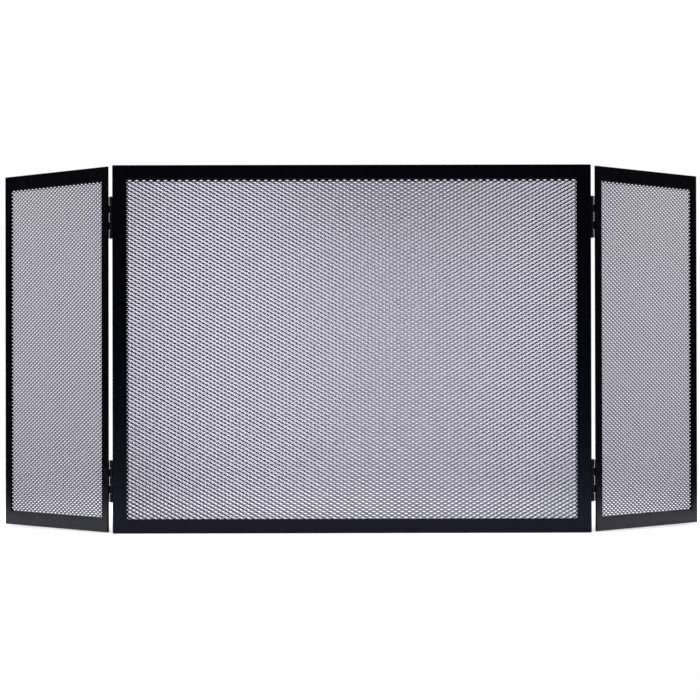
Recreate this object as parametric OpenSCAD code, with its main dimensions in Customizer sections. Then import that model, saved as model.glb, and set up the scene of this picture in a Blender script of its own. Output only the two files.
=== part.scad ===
// Three-panel fireplace screen: a centre panel with a folding wing on each side.
// Every panel is a mitred frame of flat bar with a sheet of expanded mesh welded to its back.
// Each wing hangs on two butt hinges, so that it can stand back from the centre or fold flat.
// The origin is on the floor, under the middle of the centre panel. The front faces -Y.

/* [Panels] */
// Width of the centre panel
centre_w = 668; // [560:1:900]
// Height of the centre panel
centre_h = 514; // [360:1:800]
// Width of each wing
wing_w = 269; // [140:1:330]
// How far each wing stops short of the centre panel at its top and at its bottom
wing_clear = 1.5; // [0:0.5:6]
// Angle that the wings are folded back, from in line with the centre
wing_fold = 51; // [0:1:180]

/* [Flat bar] */
// Width of the centre panel's bars and of the wings' rails
bar_w = 20; // [16:0.5:40]
// Width of the narrower bar that the wings' stiles are made of
wing_stile_w = 15; // [12:0.5:40]
// Thickness of the bars
bar_t = 3; // [2.5:0.5:6]
// Radius of the bars' rolled edges
edge_r = 1; // [0.2:0.1:1.2]
// Radius of the outer corners of each frame
corner_r = 2; // [0.5:0.5:8]

/* [Expanded mesh] */
// Overall thickness of the mesh sheet
mesh_t = 1.6; // [0.8:0.1:3]
// How far the mesh laps onto the back of the bars
mesh_lap = 5; // [3:0.5:6]

/* [Hinges] */
// Height of each hinge
hinge_h = 58; // [30:1:90]
// Distance from the end of the centre panel to the nearest hinge
hinge_inset = 44; // [22:1:90]
// Gap between the centre panel and a wing when they stand in line
hinge_gap = 3.6; // [3:0.2:8]
// Thickness of the hinge leaves
leaf_t = 1.2; // [0.8:0.1:1.6]
// Space between a hinge leaf and the edge of the mesh beside it
leaf_room = 1.5; // [0.5:0.5:2]
// Radius of the rounded corners of a leaf
leaf_r = 2; // [0.5:0.5:4]
// Radius of the hinge pin
pin_r = 1.5; // [1:0.1:2.5]
// Radial play of the wing's knuckles on the pin
pin_play = 0.06; // [0.02:0.01:0.1]
// Number of knuckles in each hinge
knuckles = 5; // [3:2:9]
// Gap between neighbouring knuckles
knuckle_gap = 0.4; // [0.2:0.1:1]
// Height of the peened head at each end of the pin
head_h = 0.9; // [0.5:0.1:2]

/* [Hidden] */
$fn = 48;

frame_colour = "#15151c";
mesh_colour = "#2b2b36";
hinge_colour = "#0e0e12";
pin_colour = "#5a5a60";

wing_h = centre_h - 2 * wing_clear;

// A leaf is rolled round the pin, so its barrel is the pin plus the leaf's own thickness.
barrel_r = pin_r + leaf_t;
// The barrel stands on the plane of the bars' back faces, in the middle of the gap.
pivot_x = centre_w / 2 + hinge_gap / 2;
pivot_y = bar_t / 2 + barrel_r;
// Space between a barrel and the flat of the opposite leaf
barrel_clear = 0.4;
// Where the tongue of a leaf runs into the barrel, measured from the pivot
tongue_x = barrel_r / 4;
// Both leaves are as wide as the strip between the mesh and the edge of the narrower stile allows.
leaf_w = min(bar_w, wing_stile_w) - mesh_lap - leaf_room;
leaf_near = barrel_r + barrel_clear;
leaf_far = hinge_gap / 2 + leaf_w;
leaf_corner_r = min(leaf_r, (leaf_far - leaf_near) / 2);
knuckle_h = (hinge_h - (knuckles - 1) * knuckle_gap) / knuckles;
// The peened heads are this much wider than the pin.
head_lip = 0.7;

upper_hinge_z = centre_h - hinge_inset - hinge_h;
lower_hinge_z = hinge_inset;

// ---- Frame bars ----

// Every panel is given by its width w and height h. Its rails are bar_w wide and its stiles stile_w.

// Cross-section of a bar: its width along X from 0, its thickness along Y about 0
module bar_section(width) {
    flat_t = bar_t - 2 * edge_r;
    translate([0, -flat_t / 2])
        square([width, flat_t]);
    translate([edge_r, -bar_t / 2])
        square([width - 2 * edge_r, bar_t]);
    for (x = [edge_r, width - edge_r], y = [-flat_t / 2, flat_t / 2])
        translate([x, y])
            circle(edge_r);
}

// Outline of a whole panel with its rounded corners, standing in the first quadrant
module panel_outline(w, h) {
    translate([corner_r, 0])
        square([w - 2 * corner_r, h]);
    translate([0, corner_r])
        square([w, h - 2 * corner_r]);
    for (x = [corner_r, w - corner_r], y = [corner_r, h - corner_r])
        translate([x, y])
            circle(corner_r);
}

// Stands a drawing up in the XZ plane, as thick as asked, with its middle at Y = 0
module stand_up(thickness) {
    rotate([90, 0, 0])
        linear_extrude(thickness, center = true)
            children();
}

// The part of a panel that belongs to one bar: the outline cut along both mitres
module mitre_block(points, w, h) {
    stand_up(2 * bar_t)
        intersection() {
            polygon(points);
            panel_outline(w, h);
        }
}

module bottom_rail(w, h, stile_w) {
    intersection() {
        translate([0, 0, bar_w])
            rotate([0, 90, 0])
                linear_extrude(w)
                    bar_section(bar_w);
        mitre_block([[0, 0], [w, 0], [w - stile_w, bar_w], [stile_w, bar_w]], w, h);
    }
}

module left_stile(w, h, stile_w) {
    intersection() {
        linear_extrude(h)
            bar_section(stile_w);
        mitre_block([[0, 0], [stile_w, bar_w], [stile_w, h - bar_w], [0, h]], w, h);
    }
}

module top_rail(w, h, stile_w) {
    translate([0, 0, h])
        mirror([0, 0, 1])
            bottom_rail(w, h, stile_w);
}

module right_stile(w, h, stile_w) {
    translate([w, 0, 0])
        mirror([1, 0, 0])
            left_stile(w, h, stile_w);
}

// ---- Mesh ----

// Closed sheet with the outer size of the expanded mesh, lying on the back of the bars
module mesh_sheet(w, h, stile_w) {
    side = stile_w - mesh_lap;
    ends = bar_w - mesh_lap;
    translate([side, bar_t / 2, ends])
        cube([w - 2 * side, mesh_t, h - 2 * ends]);
}

// ---- Hinges, drawn about the pivot, with the leaf running towards -X ----

// Height at which a knuckle starts, counted from the bottom one
function knuckle_z(i) = i * (knuckle_h + knuckle_gap);

// Flat of the leaf, with its two free corners rounded
module leaf_flat() {
    translate([leaf_corner_r - leaf_far, 0])
        square([leaf_far - leaf_near - leaf_corner_r, hinge_h]);
    translate([-leaf_far, leaf_corner_r])
        square([leaf_far - leaf_near, hinge_h - 2 * leaf_corner_r]);
    for (z = [leaf_corner_r, hinge_h - leaf_corner_r])
        translate([leaf_corner_r - leaf_far, z])
            circle(leaf_corner_r);
}

// One leaf: first is 0 for the leaf with the end knuckles, 1 for the leaf with those between
module hinge_leaf(first, bore_r) {
    difference() {
        union() {
            translate([0, leaf_t / 2 - barrel_r, 0])
                stand_up(leaf_t)
                    leaf_flat();
            for (i = [first : 2 : knuckles - 1])
                translate([0, 0, knuckle_z(i)]) {
                    translate([-leaf_near, -barrel_r, 0])
                        cube([leaf_near - tongue_x, leaf_t, knuckle_h]);
                    cylinder(r = barrel_r, h = knuckle_h);
                }
        }
        translate([0, 0, -1])
            cylinder(r = bore_r, h = hinge_h + 2);
    }
}

module centre_leaf() {
    color(hinge_colour)
        hinge_leaf(0, pin_r);
}

module wing_leaf() {
    color(hinge_colour)
        mirror([1, 0, 0])
            hinge_leaf(1, pin_r + pin_play);
}

// Pin with both of its ends peened over
module hinge_pin() {
    color(pin_colour) {
        cylinder(r = pin_r, h = hinge_h);
        translate([0, 0, hinge_h])
            cylinder(r1 = pin_r + head_lip, r2 = pin_r - head_lip, h = head_h);
        translate([0, 0, -head_h])
            cylinder(r1 = pin_r - head_lip, r2 = pin_r + head_lip, h = head_h);
    }
}

// ---- Places ----

module in_centre() {
    translate([-centre_w / 2, 0, 0])
        children();
}

// Puts a hinge part of the right side on its pivot, at the given height
module on_pivot(z) {
    translate([pivot_x, pivot_y, z])
        children();
}

// Turns what is drawn about the right pivot with the right wing
module folded(z = 0) {
    on_pivot(z)
        rotate([0, 0, wing_fold])
            children();
}

// A panel of the right wing, from the corner where it is drawn to its folded place
module in_wing() {
    folded(wing_clear)
        translate([hinge_gap / 2, -pivot_y, 0])
            children();
}

module to_left() {
    mirror([1, 0, 0])
        children();
}

// ---- Sub-parts ----

module centre_top_rail() { color(frame_colour) in_centre() top_rail(centre_w, centre_h, bar_w); }
module centre_bottom_rail() { color(frame_colour) in_centre() bottom_rail(centre_w, centre_h, bar_w); }
module centre_left_stile() { color(frame_colour) in_centre() left_stile(centre_w, centre_h, bar_w); }
module centre_right_stile() { color(frame_colour) in_centre() right_stile(centre_w, centre_h, bar_w); }
module centre_mesh() { color(mesh_colour) in_centre() mesh_sheet(centre_w, centre_h, bar_w); }

module right_top_rail() { color(frame_colour) in_wing() top_rail(wing_w, wing_h, wing_stile_w); }
module right_bottom_rail() { color(frame_colour) in_wing() bottom_rail(wing_w, wing_h, wing_stile_w); }
module right_inner_stile() { color(frame_colour) in_wing() left_stile(wing_w, wing_h, wing_stile_w); }
module right_outer_stile() { color(frame_colour) in_wing() right_stile(wing_w, wing_h, wing_stile_w); }
module right_mesh() { color(mesh_colour) in_wing() mesh_sheet(wing_w, wing_h, wing_stile_w); }

module left_top_rail() { to_left() right_top_rail(); }
module left_bottom_rail() { to_left() right_bottom_rail(); }
module left_inner_stile() { to_left() right_inner_stile(); }
module left_outer_stile() { to_left() right_outer_stile(); }
module left_mesh() { to_left() right_mesh(); }

module right_upper_hinge_centre_leaf() { on_pivot(upper_hinge_z) centre_leaf(); }
module right_upper_hinge_wing_leaf() { folded(upper_hinge_z) wing_leaf(); }
module right_upper_hinge_pin() { on_pivot(upper_hinge_z) hinge_pin(); }
module right_lower_hinge_centre_leaf() { on_pivot(lower_hinge_z) centre_leaf(); }
module right_lower_hinge_wing_leaf() { folded(lower_hinge_z) wing_leaf(); }
module right_lower_hinge_pin() { on_pivot(lower_hinge_z) hinge_pin(); }

module left_upper_hinge_centre_leaf() { to_left() right_upper_hinge_centre_leaf(); }
module left_upper_hinge_wing_leaf() { to_left() right_upper_hinge_wing_leaf(); }
module left_upper_hinge_pin() { to_left() right_upper_hinge_pin(); }
module left_lower_hinge_centre_leaf() { to_left() right_lower_hinge_centre_leaf(); }
module left_lower_hinge_wing_leaf() { to_left() right_lower_hinge_wing_leaf(); }
module left_lower_hinge_pin() { to_left() right_lower_hinge_pin(); }

centre_top_rail();
centre_bottom_rail();
centre_left_stile();
centre_right_stile();
centre_mesh();
left_top_rail();
left_bottom_rail();
left_inner_stile();
left_outer_stile();
left_mesh();
right_top_rail();
right_bottom_rail();
right_inner_stile();
right_outer_stile();
right_mesh();
left_upper_hinge_centre_leaf();
left_upper_hinge_wing_leaf();
left_upper_hinge_pin();
left_lower_hinge_centre_leaf();
left_lower_hinge_wing_leaf();
left_lower_hinge_pin();
right_upper_hinge_centre_leaf();
right_upper_hinge_wing_leaf();
right_upper_hinge_pin();
right_lower_hinge_centre_leaf();
right_lower_hinge_wing_leaf();
right_lower_hinge_pin();
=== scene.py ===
import math
import random

import bpy
import numpy as np
from bpy.props import FloatProperty, FloatVectorProperty, IntProperty, PointerProperty, StringProperty
from mathutils import Euler, Matrix, Vector


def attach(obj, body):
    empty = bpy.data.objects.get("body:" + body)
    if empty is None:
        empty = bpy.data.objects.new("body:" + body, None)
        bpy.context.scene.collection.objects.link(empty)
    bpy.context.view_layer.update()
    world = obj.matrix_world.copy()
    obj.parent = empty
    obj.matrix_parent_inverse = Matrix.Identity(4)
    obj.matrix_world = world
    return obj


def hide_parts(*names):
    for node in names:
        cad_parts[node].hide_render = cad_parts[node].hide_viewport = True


bl_info = {
    "name": "Folding Fireplace Screen",
    "version": (1, 0, 0),
    "blender": (4, 5, 0),
    "location": "3D View > Sidebar > Fireplace Screen",
    "description": "Expanded mesh, welds and powder coat for a three-panel folding fireplace screen",
    "category": "Object",
}

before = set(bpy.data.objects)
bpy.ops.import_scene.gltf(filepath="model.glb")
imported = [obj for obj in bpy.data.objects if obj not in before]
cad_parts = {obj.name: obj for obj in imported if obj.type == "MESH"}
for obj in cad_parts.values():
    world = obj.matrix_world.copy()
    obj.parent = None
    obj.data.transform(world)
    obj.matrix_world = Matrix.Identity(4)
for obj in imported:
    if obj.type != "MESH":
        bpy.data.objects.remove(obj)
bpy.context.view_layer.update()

MM = 0.001
PANELS = ("centre", "left", "right")
HINGES = ("left_upper", "left_lower", "right_upper", "right_lower")
BARS = {
    "centre": ("top_rail", "bottom_rail", "left_stile", "right_stile"),
    "left": ("top_rail", "bottom_rail", "inner_stile", "outer_stile"),
    "right": ("top_rail", "bottom_rail", "inner_stile", "outer_stile"),
}


# ---- Settings that a user would change ----


class ScreenMeshSettings(bpy.types.PropertyGroup):
    """Expanded metal: slit and stretched sheet"""

    diamond_length: FloatProperty(
        name="Diamond length", description="Long way of one diamond, from bond to bond",
        default=10 * MM, min=6 * MM, max=30 * MM, subtype="DISTANCE", unit="LENGTH", precision=4,
    )
    diamond_height: FloatProperty(
        name="Diamond height", description="Short way of one diamond, from bond to bond",
        default=5.57 * MM, min=4 * MM, max=15 * MM, subtype="DISTANCE", unit="LENGTH", precision=4,
    )
    strand_width: FloatProperty(
        name="Strand width", description="Width of one strand, across its slanted face",
        default=2.4 * MM, min=0.5 * MM, max=3 * MM, subtype="DISTANCE", unit="LENGTH", precision=4,
    )
    strand_thickness: FloatProperty(
        name="Strand thickness", description="Thickness of the sheet that the mesh was slit from",
        default=0.62 * MM, min=0.4 * MM, max=1.5 * MM, subtype="DISTANCE", unit="LENGTH", precision=4,
    )
    strand_lean: FloatProperty(
        name="Strand lean", description="How far the upper edge of each strand leans to the rear",
        default=math.radians(24), min=0, max=math.radians(50), subtype="ANGLE", unit="ROTATION",
    )
    bond_share: FloatProperty(
        name="Bond share",
        description="How far two strands stand apart at a bond, as a share of a whole bond",
        default=0.65, min=0, max=1, subtype="FACTOR",
    )


class ScreenWeldSettings(bpy.types.PropertyGroup):
    """Welds on the backs of the panels"""

    tack_spacing: FloatProperty(
        name="Tack spacing", description="Distance between the tacks that hold the mesh to the bars",
        default=48 * MM, min=15 * MM, max=150 * MM, subtype="DISTANCE", unit="LENGTH",
    )
    tack_radius: FloatProperty(
        name="Tack radius", description="Radius of one tack weld",
        default=2.1 * MM, min=1 * MM, max=4 * MM, subtype="DISTANCE", unit="LENGTH", precision=4,
    )
    bead_radius: FloatProperty(
        name="Bead radius", description="Half the width of the weld beads along mitres and hinge leaves",
        default=1.1 * MM, min=0.5 * MM, max=2 * MM, subtype="DISTANCE", unit="LENGTH", precision=4,
    )
    bead_ripple: FloatProperty(
        name="Ripple spacing", description="Distance between the ripples that a weld pool leaves as it moves",
        default=1.3 * MM, min=0.5 * MM, max=3 * MM, subtype="DISTANCE", unit="LENGTH", precision=4,
    )
    seed: IntProperty(
        name="Seed", description="Start of the random numbers behind uneven welds", default=7, min=0
    )


class ScreenFinishSettings(bpy.types.PropertyGroup):
    """Colours, as sRGB hex values, and gloss of the finishes"""

    bar_colour: StringProperty(
        name="Bar colour", description="Powder coat on the bars, sRGB hex", default="#030307"
    )
    mesh_colour: StringProperty(
        name="Mesh colour", description="Powder coat on the mesh, sRGB hex", default="#19182b"
    )
    hinge_colour: StringProperty(
        name="Hinge colour", description="Blacking on the leaves, sRGB hex", default="#070708"
    )
    pin_colour: StringProperty(
        name="Pin colour", description="Oiled steel of the pins, sRGB hex", default="#5c5b5e"
    )
    bar_roughness: FloatProperty(
        name="Bar roughness", description="Roughness of the powder coat on the bars",
        default=0.22, min=0.05, max=1, subtype="FACTOR",
    )
    peel: FloatProperty(
        name="Orange peel", description="Size of the ripples that baked powder leaves",
        default=1.6 * MM, min=0.5 * MM, max=5 * MM, subtype="DISTANCE", unit="LENGTH", precision=4,
    )


class ScreenStageSettings(bpy.types.PropertyGroup):
    """Camera, floor and studio light"""

    lens: FloatProperty(
        name="Lens", description="Focal length of the camera", default=133.5, min=20, max=300,
        subtype="DISTANCE_CAMERA",
    )
    camera_place: FloatVectorProperty(
        name="Camera place", description="Where the camera stands",
        default=(-0.0165, -3.621, 0.2321),
        subtype="TRANSLATION", unit="LENGTH",
    )
    camera_turn: FloatVectorProperty(
        name="Camera turn",
        description="Tilt up, roll to the left and turn to the left from looking along +Y",
        default=(math.radians(0.369), math.radians(-0.119), math.radians(-0.218)), subtype="EULER",
    )
    floor_width: FloatProperty(
        name="Floor width", description="Width of the floor sheet", default=1.8, min=1.5, subtype="DISTANCE",
        unit="LENGTH",
    )
    floor_front: FloatProperty(
        name="Floor in front", description="How far the floor sheet reaches in front of the screen",
        default=1.9, min=0.5, subtype="DISTANCE", unit="LENGTH",
    )
    floor_behind: FloatProperty(
        name="Floor behind", description="How far the floor sheet reaches behind the screen",
        default=8, min=0.5, subtype="DISTANCE", unit="LENGTH",
    )
    floor_colour: StringProperty(
        name="Floor colour", description="Matt floor paint, sRGB hex", default="#f4f4f6"
    )
    key_strength: FloatProperty(
        name="Overhead light", description="Strength of the wide overhead light", default=3.2, min=0
    )
    key_angle: FloatProperty(
        name="Overhead angle", description="How wide the overhead light is, as seen from the floor",
        default=math.radians(60), min=0, max=math.pi, subtype="ANGLE", unit="ROTATION",
    )
    key_tilt: FloatProperty(
        name="Overhead tilt", description="How far behind the zenith the overhead light stands",
        default=math.radians(14), min=0, max=math.pi / 2, subtype="ANGLE", unit="ROTATION",
    )
    front_level: FloatProperty(
        name="Front level", description="Brightness of the dim side of the studio, in front of the screen",
        default=0.01, min=0, max=1, subtype="FACTOR",
    )
    front_glow: FloatProperty(
        name="Front glow",
        description="Power of the two softboxes in front, in watts per square metre of cloth",
        default=9.3, min=0,
    )
    left_box_size: FloatVectorProperty(
        name="Left softbox size", description="Width and height of the softbox in front, on the left",
        size=2, default=(0.6, 0.8), min=0.1, unit="LENGTH",
    )
    left_box_place: FloatVectorProperty(
        name="Left softbox place", description="Where the softbox in front hangs on the left",
        default=(-1.29, -1.5, 2.13), subtype="TRANSLATION", unit="LENGTH",
    )
    right_box_size: FloatVectorProperty(
        name="Right softbox size", description="Width and height of the softbox in front, on the right",
        size=2, default=(0.42, 0.8), min=0.1, unit="LENGTH",
    )
    right_box_place: FloatVectorProperty(
        name="Right softbox place", description="Where the softbox in front hangs on the right",
        default=(1.48, -1.5, 2.13), subtype="TRANSLATION", unit="LENGTH",
    )
    side_glow: FloatProperty(
        name="Side glow",
        description="Power of the softboxes beside the wings, in watts per square metre of cloth",
        default=2.27, min=0,
    )
    side_box_size: FloatVectorProperty(
        name="Side softbox size", description="Width and height of each softbox beside a wing",
        size=2, default=(0.8, 0.8), min=0.1, unit="LENGTH",
    )
    side_box_place: FloatVectorProperty(
        name="Side softbox place", description="Where the right side softbox hangs; the left one mirrors it",
        default=(1.93, 0.14, 1.22), subtype="TRANSLATION", unit="LENGTH",
    )
    softbox_spread: FloatProperty(
        name="Softbox spread", description="How wide the grids in front of all softboxes let the light out",
        default=math.radians(50), min=math.radians(5), max=math.pi, subtype="ANGLE", unit="ROTATION",
    )


# ---- Materials ----


def linear(hex_colour):
    """An sRGB hex value as linear RGBA."""
    channels = [int(hex_colour[i : i + 2], 16) / 255 for i in (1, 3, 5)]
    return [c / 12.92 if c <= 0.04045 else ((c + 0.055) / 1.055) ** 2.4 for c in channels] + [1.0]


def shade(colour, factor):
    """A linear colour made lighter or darker."""
    return [min(1.0, c * factor) for c in colour[:3]] + [1.0]


def add_node(tree, kind, values=None, links=None, **settings):
    """Adds a shader node with its settings, the values of its inputs and the sockets linked to them."""
    new = tree.nodes.new(kind)
    for name, value in settings.items():
        setattr(new, name, value)
    for name, value in (values or {}).items():
        new.inputs[name].default_value = value
    for name, socket in (links or {}).items():
        tree.links.new(socket, new.inputs[name])
    return new


def new_material(name):
    """An empty node material, its tree and the surface's own coordinates in metres."""
    material = bpy.data.materials.new(name)
    material.use_nodes = True
    tree = material.node_tree
    tree.nodes.clear()
    place = add_node(tree, "ShaderNodeTexCoord").outputs["Object"]
    return material, tree, place


def noise(tree, place, size, detail=2.0, roughness=0.5):
    """Noise whose lumps are about the given size in metres."""
    values = {"Scale": 1 / size, "Detail": detail, "Roughness": roughness}
    return add_node(tree, "ShaderNodeTexNoise", values, {"Vector": place}).outputs["Fac"]


def coated(
    tree, place, colour, spread, roughness, roughness_spread, mottle, bump, bump_size, bump_height, **values
):
    """Principled surface. Its colour and roughness vary by their spreads in patches about as large as mottle,
    and its skin has lumps of bump_size, bump_height high, at a strength of bump."""
    variation = noise(tree, place, mottle, detail=4.0)
    tint = add_node(
        tree, "ShaderNodeMix", {6: shade(colour, 1 - spread), 7: shade(colour, 1 + spread)}, {0: variation},
        data_type="RGBA",
    )
    dullness = add_node(
        tree, "ShaderNodeMapRange",
        {"To Min": roughness - roughness_spread, "To Max": roughness + roughness_spread},
        {"Value": noise(tree, place, mottle * 0.4, detail=3.0)},
    )
    relief = add_node(
        tree, "ShaderNodeBump", {"Strength": bump, "Distance": bump_height},
        {"Height": noise(tree, place, bump_size)},
    )
    surface = add_node(
        tree, "ShaderNodeBsdfPrincipled", values,
        {"Base Color": tint.outputs[2], "Roughness": dullness.outputs[0], "Normal": relief.outputs[0]},
    )
    add_node(tree, "ShaderNodeOutputMaterial", links={"Surface": surface.outputs[0]})


def powder_coated_bar(finish):
    """Mild steel flat bar, sprayed with satin black powder and baked: deep, slightly blue black with a soft
    sheen that breaks up over orange peel."""
    material, tree, place = new_material("powder_coated_flat_bar")
    coated(
        tree, place, linear(finish.bar_colour), spread=0.35, roughness=finish.bar_roughness,
        roughness_spread=0.06, mottle=22 * MM, bump=0.35, bump_size=finish.peel, bump_height=0.02 * MM,
        **{"IOR": 1.5, "Specular IOR Level": 0.2, "Specular Tint": (0.6, 0.62, 1.0, 1.0)},
    )
    return material


def powder_coated_mesh(finish):
    """Expanded steel sheet under the same powder: a lighter, bluer black, whose gloss varies from strand to
    strand."""
    material, tree, place = new_material("powder_coated_expanded_steel")
    coated(
        tree, place, linear(finish.mesh_colour), spread=0.25, roughness=0.24, roughness_spread=0.05,
        mottle=9 * MM, bump=0.4, bump_size=finish.peel * 0.6, bump_height=0.02 * MM,
        **{"IOR": 1.5, "Specular Tint": (0.8, 0.77, 1.0, 1.0)},
    )
    return material


def powder_coated_weld(finish):
    """Weld metal under the powder: the same black, pooled and uneven, with a coarser skin."""
    material, tree, place = new_material("powder_coated_weld_bead")
    coated(
        tree, place, linear(finish.bar_colour), spread=0.4, roughness=0.4, roughness_spread=0.1,
        mottle=3 * MM, bump=0.6, bump_size=0.5 * MM, bump_height=0.05 * MM, IOR=1.5,
    )
    return material


def blacked_hinge_steel(finish):
    """Cold-rolled strip, rolled round the pin and chemically blacked: a flatter black than the bars, with the
    faint lengthwise grain of the strip."""
    material, tree, place = new_material("blacked_rolled_strip")
    coated(
        tree, place, linear(finish.hinge_colour), spread=0.3, roughness=0.44, roughness_spread=0.08,
        mottle=6 * MM, bump=0.5, bump_size=0.4 * MM, bump_height=0.01 * MM,
        **{"IOR": 1.5, "Specular IOR Level": 0.15},
    )
    return material


def oiled_pin_steel(finish):
    """Drawn steel wire, peened over at both ends and oiled: dark grey metal with small hammer marks."""
    material, tree, place = new_material("oiled_drawn_steel")
    coated(
        tree, place, linear(finish.pin_colour), spread=0.25, roughness=0.38, roughness_spread=0.1,
        mottle=2 * MM, bump=0.7, bump_size=0.8 * MM, bump_height=0.06 * MM, Metallic=1.0,
    )
    return material


def painted_floor(stage):
    """Matt wall paint rolled on a studio floor: pale and plain, with only a breath of roller mottle."""
    material, tree, place = new_material("rolled_matt_floor_paint")
    coated(
        tree, place, linear(stage.floor_colour), spread=0.015, roughness=0.85, roughness_spread=0.05,
        mottle=600 * MM, bump=0.1, bump_size=3 * MM, bump_height=0.05 * MM, IOR=1.45,
    )
    return material


def paint_node(name, material):
    """Puts a material in every slot of a CAD node."""
    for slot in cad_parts[name].material_slots:
        slot.material = material


# ---- Places, read from the frame ----


def node_points(name):
    """The distinct points of a CAD node, in metres."""
    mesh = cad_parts[name].data
    points = np.empty(len(mesh.vertices) * 3, np.float32)
    mesh.vertices.foreach_get("co", points)
    return np.unique(points.reshape(-1, 3).astype(float).round(7), axis=0)


class PanelPlace:
    """Where a panel stands at rest: x runs along it, y to the rear from the backs of its bars, z up."""

    def __init__(self, name):
        self.name = name
        self.body = "centre" if name == "centre" else name + "_wing"
        sheet = node_points(name + "_mesh")
        flat = sheet[:, :2] - sheet[:, :2].mean(axis=0)
        along = np.linalg.eigh(flat.T @ flat)[1][:, 1]
        along *= math.copysign(1, along[0])
        self.turn = Matrix(((along[0], -along[1], 0), (along[1], along[0], 0), (0, 0, 1)))
        start = self.extent(name + "_top_rail")[0]
        floor = self.extent(name + "_bottom_rail")[0]
        self.corner = Vector((start.x, self.extent(name + "_mesh")[0].y, floor.z))

        self.mesh_low, self.mesh_high = self.box(name + "_mesh")
        self.outline = self.box(name + "_top_rail")[1]
        self.rail_w = self.box(name + "_bottom_rail")[1].z
        stile = self.box(f"{name}_{BARS[name][2]}")
        self.stile_w = stile[1].x - stile[0].x
        self.matrix = self.turn.to_4x4()
        self.matrix.translation = self.turn @ self.corner

    def extent(self, node):
        """Lowest and highest corner of a node in directions along, behind and above the panel."""
        points = node_points(node) @ np.array(self.turn)
        return Vector(points.min(axis=0)), Vector(points.max(axis=0))

    def box(self, node):
        """The same, measured from the panel's own corner."""
        low, high = self.extent(node)
        return low - self.corner, high - self.corner


# ---- Pieces ----


def add_piece(name, place, points, faces, material):
    """Makes a mesh piece out of points in a panel's own directions, and lets it ride on the panel's body."""
    mesh = bpy.data.meshes.new(name)
    mesh.from_pydata([place.matrix @ Vector(p) for p in points], [], faces)
    mesh.validate()
    mesh.materials.append(material)
    piece = bpy.data.objects.new(name, mesh)
    bpy.context.scene.collection.objects.link(piece)
    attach(piece, place.body)
    return piece


SHORTEST_RUN = 0.02


def expanded_sheet(low, high, settings):
    """Points and faces of expanded metal that fills a box. Each row of strands rises and falls from bond to
    bond, as one bar of four sides. A last run shorter than SHORTEST_RUN of half a diamond is left out."""
    half_length = settings.diamond_length / 2
    half_height = settings.diamond_height / 2
    reach = (high.x - low.x) / 2
    inner = half_length * np.arange(-int(reach / half_length), int(reach / half_length) + 1)
    reaches_past = reach - inner[-1] > half_length * SHORTEST_RUN
    x = np.concatenate(([-reach], inner, [reach])) if reaches_past else inner
    rows = int((high.z - low.z) / half_height)
    first = low.z + (high.z - low.z - rows * half_height) / 2

    lean = settings.strand_lean
    bond = settings.bond_share * settings.strand_width / 2 * math.cos(lean)
    climb = half_height - 2 * bond
    # An upright plane cuts a climbing strand slantwise, so the section there is wider than the strand.
    half_width = settings.strand_width / 2 * math.hypot(half_length, climb) / half_length
    half_thick = settings.strand_thickness / 2
    across = np.array([math.sin(lean), math.cos(lean)]) * half_width
    through = np.array([math.cos(lean), -math.sin(lean)]) * half_thick
    section = np.array([-across - through, across - through, across + through, through - across])

    points, faces = [], []
    for row in range(rows):
        rise = 1 - np.abs((x / half_length + row) % 2 - 1)
        z = first + row * half_height + bond + rise * climb
        y = (low.y + high.y) / 2 + (1 - 2 * rise) * bond * math.tan(lean)
        start = len(points)
        for i in range(len(x)):
            points += [(x[i] + (low.x + high.x) / 2, y[i] + dy, z[i] + dz) for dy, dz in section]
        last = start + 4 * (len(x) - 1)
        faces.append((start, start + 1, start + 2, start + 3))
        faces.append((last + 3, last + 2, last + 1, last))
        for ring in range(start, last, 4):
            for side in range(4):
                after = (side + 1) % 4
                faces.append((ring + side, ring + 4 + side, ring + 4 + after, ring + after))
    return points, faces


# BEAD_ARC is the number of sides of a bead's arch. Height, tip and wander are shares of the bead's radius,
# and swell and uneven are shares of its size at that place.
BEAD_ARC = 8
BEAD_RINGS_PER_RIPPLE = 4
BEAD_HEIGHT = 0.75
BEAD_TIP = 0.1
BEAD_SWELL = 0.07
BEAD_WANDER = 0.05
BEAD_UNEVEN = (0.96, 1.04)


def weld_bead(start, end, radius, ripple, chance, sink):
    """Points and faces of one straight bead on the plane y = 0: a low arch with ripples and narrow ends."""
    direction = (end - start).normalized()
    side = direction.cross(Vector((0, 1, 0)))
    length = (end - start).length
    rings = max(8, int(length / ripple * BEAD_RINGS_PER_RIPPLE))
    points, faces = [], []
    for i in range(rings + 1):
        travel = i / rings * length
        ends = min(travel, length - travel) / radius
        pinch = math.sqrt(max(0.0, 1 - (1 - min(1.0, ends)) ** 2)) * (1 - BEAD_TIP) + BEAD_TIP
        swell = 1 + BEAD_SWELL * math.sin(travel / ripple * math.tau)
        size = radius * pinch * swell * chance.uniform(*BEAD_UNEVEN)
        middle = start + direction * travel + side * chance.uniform(-BEAD_WANDER, BEAD_WANDER) * radius
        for k in range(BEAD_ARC + 1):
            angle = math.pi * k / BEAD_ARC
            height = size * math.sin(angle) * BEAD_HEIGHT - sink
            points.append(middle + side * math.cos(angle) * size + Vector((0, height, 0)))
    sides = BEAD_ARC + 1
    for i in range(rings):
        for k in range(sides):
            after = (k + 1) % sides
            here, ahead = i * sides, (i + 1) * sides
            faces.append((here + k, ahead + k, ahead + after, here + after))
    faces.append(tuple(range(sides)))
    faces.append(tuple(range(rings * sides, (rings + 1) * sides))[::-1])
    return points, faces


# Each ring of a tack is a share of its radius and a share of its height.
TACK_SIDES = 14
TACK_UNEVEN = (0.86, 1.12)
TACK_PROFILE = ((1.0, 0.0), (0.96, 0.35), (0.8, 0.68), (0.55, 0.9), (0.25, 1.0))


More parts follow.
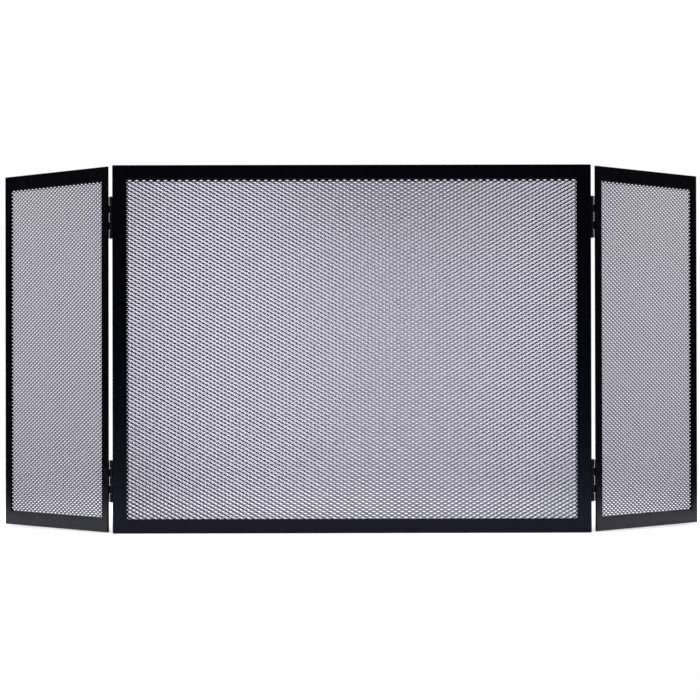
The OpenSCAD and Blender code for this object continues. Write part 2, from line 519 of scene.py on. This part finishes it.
def weld_tack(middle, radius, height, chance, sink):
    """Points and faces of one low, uneven blob of weld on the plane y = 0, seen as a dome from the rear."""
    wobble = [chance.uniform(*TACK_UNEVEN) for _ in range(TACK_SIDES)]
    points, faces = [], []
    for share, level in TACK_PROFILE:
        for k in range(TACK_SIDES):
            angle = math.tau * k / TACK_SIDES
            reach = radius * share * (1 + (wobble[k] - 1) * share)
            lift = level * height if level else -sink
            points.append(middle + Vector((math.cos(angle) * reach, lift, math.sin(angle) * reach)))
    last = (len(TACK_PROFILE) - 1) * TACK_SIDES
    for here in range(0, last, TACK_SIDES):
        for k in range(TACK_SIDES):
            after = (k + 1) % TACK_SIDES
            above = here + TACK_SIDES
            faces.append((here + k, above + k, above + after, here + after))
    faces.append(tuple(range(TACK_SIDES)))
    faces.append(tuple(range(last, last + TACK_SIDES))[::-1])
    return points, faces


def join(parts):
    """Several (points, faces) as one."""
    points, faces = [], []
    for some_points, some_faces in parts:
        base = len(points)
        points += some_points
        faces += [tuple(base + i for i in face) for face in some_faces]
    return points, faces


def spaced(low, high, spacing):
    """Places about one spacing apart, centred between two ends."""
    count = max(1, round((high - low) / spacing))
    return [low + (high - low) * (i + 0.5) / count for i in range(count)]


# ---- Operators ----


class FIRESCREEN_OT_expanded_mesh(bpy.types.Operator):
    """Fills every panel with expanded metal, which stands for the plain sheets of the frame"""

    bl_idname = "firescreen.expanded_mesh"
    bl_label = "Expanded Mesh"
    bl_options = {"REGISTER", "UNDO"}

    MAP_MARGIN = 0.005

    def execute(self, context):
        settings = context.scene.screen_mesh
        material = powder_coated_mesh(context.scene.screen_finish)
        for name in PANELS:
            place = PanelPlace(name)
            points, faces = expanded_sheet(place.mesh_low, place.mesh_high, settings)
            if not faces:
                raise RuntimeError(f"the mesh of panel {name} has no strands: make its diamonds smaller")
            piece = add_piece(f"{name}_expanded_mesh", place, points, faces, material)
            self.map_flat(piece, points, place)
            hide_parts(name + "_mesh")
        return {"FINISHED"}

    def map_flat(self, piece, points, place):
        """Lays the bake's map over the sheet as it is seen from the front, in real proportion."""
        size = max(place.mesh_high.x - place.mesh_low.x, place.mesh_high.z - place.mesh_low.z)
        low = place.mesh_low
        flat = np.array([((p[0] - low.x) / size, (p[2] - low.z) / size) for p in points])
        layer = piece.data.uv_layers.new(name="OFBake")
        corners = np.empty(len(piece.data.loops), np.int32)
        piece.data.loops.foreach_get("vertex_index", corners)
        spots = self.MAP_MARGIN + (1 - 2 * self.MAP_MARGIN) * flat[corners]
        layer.uv.foreach_set("vector", spots.ravel().astype(np.float32))


class FIRESCREEN_OT_frame_bars(bpy.types.Operator):
    """Powder coats the flat bars of all three frames"""

    bl_idname = "firescreen.frame_bars"
    bl_label = "Frame Bars"
    bl_options = {"REGISTER", "UNDO"}

    def execute(self, context):
        material = powder_coated_bar(context.scene.screen_finish)
        for panel, bars in BARS.items():
            for bar in bars:
                paint_node(f"{panel}_{bar}", material)
        return {"FINISHED"}


class FIRESCREEN_OT_welds(bpy.types.Operator):
    """Lays the weld beads and tacks on the backs of the panels and beside the hinge leaves"""

    bl_idname = "firescreen.welds"
    bl_label = "Welds"
    bl_options = {"REGISTER", "UNDO"}

    # SINK is how deep the underside of a weld lies in the steel. MITRE_START and MITRE_REST are shares of the
    # way from a frame's outer corner to its inner one, LEAF_TRIM of a leaf's height, MITRE_SWELL and
    # LEAF_TUCK of the bead's radius, and the ranges are shares of a tack's radius and the mesh's thickness.
    SINK = 0.25 * MM
    TACK_RADIUS_RANGE = (0.85, 1.15)
    TACK_HEIGHT_RANGE = (1.02, 1.15)
    MITRE_START = 0.12
    MITRE_REST = 0.04
    MITRE_SWELL = 1.4
    LEAF_TUCK = 0.35
    LEAF_TRIM = 0.08

    def execute(self, context):
        settings = context.scene.screen_welds
        material = powder_coated_weld(context.scene.screen_finish)
        chance = random.Random(settings.seed)
        for name in PANELS:
            place = PanelPlace(name)
            parts = self.mitres(place, settings, chance) + self.tacks(place, settings, chance)
            self.add(f"{name}_panel_welds", place, parts, material)
            leaves = self.leaves(place, settings, chance)
            if not leaves:
                raise RuntimeError(f"panel {name} has no hinge leaves to weld")
            self.add(f"{name}_hinge_welds", place, leaves, material)
        return {"FINISHED"}

    def add(self, name, place, parts, material):
        points, faces = join(parts)
        piece = add_piece(name, place, points, faces, material)
        piece.data.shade_smooth()

    def mitres(self, place, settings, chance):
        """One bead on each mitre, from near the panel's corner to the edge of the mesh."""
        centre = (place.mesh_low + place.mesh_high) / 2
        parts = []
        for x_end, x_way in ((0, 1), (place.outline.x, -1)):
            for z_end, z_way in ((0, 1), (place.outline.z, -1)):
                corner = Vector((x_end, 0, z_end))
                mitre = Vector((x_way * place.stile_w, 0, z_way * place.rail_w))
                reach = min(
                    (abs(centre.x - x_end) - (place.mesh_high.x - centre.x)) / place.stile_w,
                    (abs(centre.z - z_end) - (place.mesh_high.z - centre.z)) / place.rail_w,
                )
                start = corner + mitre * self.MITRE_START
                end = corner + mitre * (reach - self.MITRE_REST)
                radius = settings.bead_radius * self.MITRE_SWELL
                parts.append(weld_bead(start, end, radius, settings.bead_ripple, chance, self.SINK))
        return parts

    def tacks(self, place, settings, chance):
        """Tacks all round, each half on the mesh and half on the bars."""
        low, high = place.mesh_low, place.mesh_high
        along = spaced(low.x, high.x, settings.tack_spacing)
        upward = spaced(low.z, high.z, settings.tack_spacing)
        spots = [Vector((x, 0, z)) for z in (low.z, high.z) for x in along]
        spots += [Vector((x, 0, z)) for x in (low.x, high.x) for z in upward]
        parts = []
        for spot in spots:
            radius = settings.tack_radius * chance.uniform(*self.TACK_RADIUS_RANGE)
            height = (high.y - low.y) * chance.uniform(*self.TACK_HEIGHT_RANGE)
            parts.append(weld_tack(spot, radius, height, chance, self.SINK))
        return parts

    def leaves(self, place, settings, chance):
        """One bead along the free edge of every hinge leaf on this panel."""
        parts = []
        for hinge in HINGES:
            if place.name not in ("centre", hinge.split("_")[0]):
                continue
            leaf = "centre_leaf" if place.name == "centre" else "wing_leaf"
            low, high = place.box(f"{hinge}_hinge_{leaf}")
            pin_low, pin_high = place.box(f"{hinge}_hinge_pin")
            away = math.copysign(1, low.x + high.x - pin_low.x - pin_high.x)
            x = (high.x if away > 0 else low.x) + away * settings.bead_radius * self.LEAF_TUCK
            trim = (high.z - low.z) * self.LEAF_TRIM
            start, end = Vector((x, 0, low.z + trim)), Vector((x, 0, high.z - trim))
            parts.append(weld_bead(start, end, settings.bead_radius, settings.bead_ripple, chance, self.SINK))
        return parts


class FIRESCREEN_OT_hinges(bpy.types.Operator):
    """Blacks the hinge leaves and oils their pins"""

    bl_idname = "firescreen.hinges"
    bl_label = "Hinges"
    bl_options = {"REGISTER", "UNDO"}

    def execute(self, context):
        strip = blacked_hinge_steel(context.scene.screen_finish)
        wire = oiled_pin_steel(context.scene.screen_finish)
        for hinge in HINGES:
            paint_node(hinge + "_hinge_centre_leaf", strip)
            paint_node(hinge + "_hinge_wing_leaf", strip)
            paint_node(hinge + "_hinge_pin", wire)
        return {"FINISHED"}


class FIRESCREEN_OT_stage(bpy.types.Operator):
    """Sets up the camera, the pale floor and the soft studio light"""

    bl_idname = "firescreen.stage"
    bl_label = "Stage"
    bl_options = {"REGISTER", "UNDO"}

    def execute(self, context):
        stage = context.scene.screen_stage
        self.camera(context, stage)
        self.floor(context, stage)
        self.light(context, stage)
        self.surroundings(context, stage)
        context.scene.view_settings.view_transform = "Standard"
        return {"FINISHED"}

    def camera(self, context, stage):
        data = bpy.data.cameras.new("studio_camera")
        data.lens = stage.lens
        data.clip_start, data.clip_end = 0.05, 1000
        camera = bpy.data.objects.new("studio_camera", data)
        tilt, roll, turn = stage.camera_turn
        level = Euler((math.pi / 2 + tilt, 0, turn)).to_matrix()
        camera.matrix_world = (level @ Matrix.Rotation(roll, 3, "Z")).to_4x4()
        camera.location = stage.camera_place
        context.scene.collection.objects.link(camera)
        context.scene.camera = camera

    def floor(self, context, stage):
        half, front, rear = stage.floor_width / 2, -stage.floor_front, stage.floor_behind
        mesh = bpy.data.meshes.new("studio_floor")
        corners = [(-half, front, 0), (half, front, 0), (half, rear, 0), (-half, rear, 0)]
        mesh.from_pydata(corners, [], [(0, 1, 2, 3)])
        mesh.materials.append(painted_floor(stage))
        floor = bpy.data.objects.new("studio_floor", mesh)
        context.scene.collection.objects.link(floor)

    def light(self, context, stage):
        """One very wide overhead light, so that the floor is even and its shadows are soft, and gridded
        softboxes that each light only the strands of the mesh that slant their way."""
        data = bpy.data.lights.new("overhead", "SUN")
        data.energy = stage.key_strength
        data.angle = stage.key_angle
        lamp = bpy.data.objects.new("overhead", data)
        lamp.rotation_euler = (-stage.key_tilt, 0, 0)
        context.scene.collection.objects.link(lamp)

        middle = Vector((0, 0, 0.25))
        wing = Vector((0.42, 0.1, 0.25))
        side_place = Vector(stage.side_box_place)
        mirror = Vector((-1, 1, 1))
        for name, place, aim, size, glow in (
            ("left_softbox", stage.left_box_place, middle, stage.left_box_size, stage.front_glow),
            ("right_softbox", stage.right_box_place, middle, stage.right_box_size, stage.front_glow),
            ("left_side_softbox", side_place * mirror, wing * mirror, stage.side_box_size, stage.side_glow),
            ("right_side_softbox", side_place, wing, stage.side_box_size, stage.side_glow),
        ):
            data = bpy.data.lights.new(name, "AREA")
            data.shape = "RECTANGLE"
            data.size, data.size_y = size
            data.energy = glow * size[0] * size[1]
            data.spread = stage.softbox_spread
            lamp = bpy.data.objects.new(name, data)
            lamp.location = place
            lamp.rotation_euler = (aim - lamp.location).to_track_quat("-Z", "Y").to_euler()
            lamp.visible_camera = False
            context.scene.collection.objects.link(lamp)

    def surroundings(self, context, stage):
        """White studio walls behind the screen that fade to a dim room in front of it, where the coat's
        reflections come from. What is seen past the screen is plain white from every side."""
        world = bpy.data.worlds.new("studio")
        context.scene.world = world
        world.use_nodes = True
        tree = world.node_tree
        tree.nodes.clear()
        direction = add_node(tree, "ShaderNodeTexCoord").outputs["Generated"]
        ahead = add_node(tree, "ShaderNodeSeparateXYZ", links={0: direction}).outputs["Y"]
        # 1 is straight to the rear.
        fade = add_node(
            tree, "ShaderNodeMapRange",
            {"From Min": 0.5, "From Max": 0.8, "To Min": stage.front_level, "To Max": 1.0},
            {"Value": ahead}, interpolation_type="SMOOTHSTEP",
        )
        seen = add_node(tree, "ShaderNodeLightPath").outputs["Is Camera Ray"]
        level = add_node(tree, "ShaderNodeMath", links={0: fade.outputs[0], 1: seen}, operation="MAXIMUM")
        glow = add_node(tree, "ShaderNodeBackground", {"Color": (1, 1, 1, 1)}, {"Strength": level.outputs[0]})
        add_node(tree, "ShaderNodeOutputWorld", links={"Surface": glow.outputs[0]})


class FIRESCREEN_PT_sidebar(bpy.types.Panel):
    """Settings and steps of the fireplace screen"""

    bl_idname = "FIRESCREEN_PT_sidebar"
    bl_label = "Fireplace Screen"
    bl_space_type = "VIEW_3D"
    bl_region_type = "UI"
    bl_category = "Fireplace Screen"

    def draw(self, context):
        for group in (
            context.scene.screen_mesh, context.scene.screen_welds, context.scene.screen_finish,
            context.scene.screen_stage,
        ):
            box = self.layout.box()
            for name in group.__annotations__:
                box.prop(group, name)
        for operator in OPERATORS:
            self.layout.operator(operator.bl_idname)


SETTINGS = {
    "screen_mesh": ScreenMeshSettings,
    "screen_welds": ScreenWeldSettings,
    "screen_finish": ScreenFinishSettings,
    "screen_stage": ScreenStageSettings,
}
OPERATORS = (
    FIRESCREEN_OT_frame_bars,
    FIRESCREEN_OT_expanded_mesh,
    FIRESCREEN_OT_welds,
    FIRESCREEN_OT_hinges,
    FIRESCREEN_OT_stage,
)


def register():
    for group in SETTINGS.values():
        bpy.utils.register_class(group)
    for name, group in SETTINGS.items():
        setattr(bpy.types.Scene, name, PointerProperty(type=group))
    for operator in OPERATORS:
        bpy.utils.register_class(operator)
    bpy.utils.register_class(FIRESCREEN_PT_sidebar)


def unregister():
    bpy.utils.unregister_class(FIRESCREEN_PT_sidebar)
    for operator in reversed(OPERATORS):
        bpy.utils.unregister_class(operator)
    for name, group in reversed(SETTINGS.items()):
        delattr(bpy.types.Scene, name)
        bpy.utils.unregister_class(group)


def main():
    register()
    bpy.ops.firescreen.frame_bars()
    bpy.ops.firescreen.expanded_mesh()
    bpy.ops.firescreen.welds()
    bpy.ops.firescreen.hinges()
    bpy.ops.firescreen.stage()


if __name__ == "__main__":
    main()
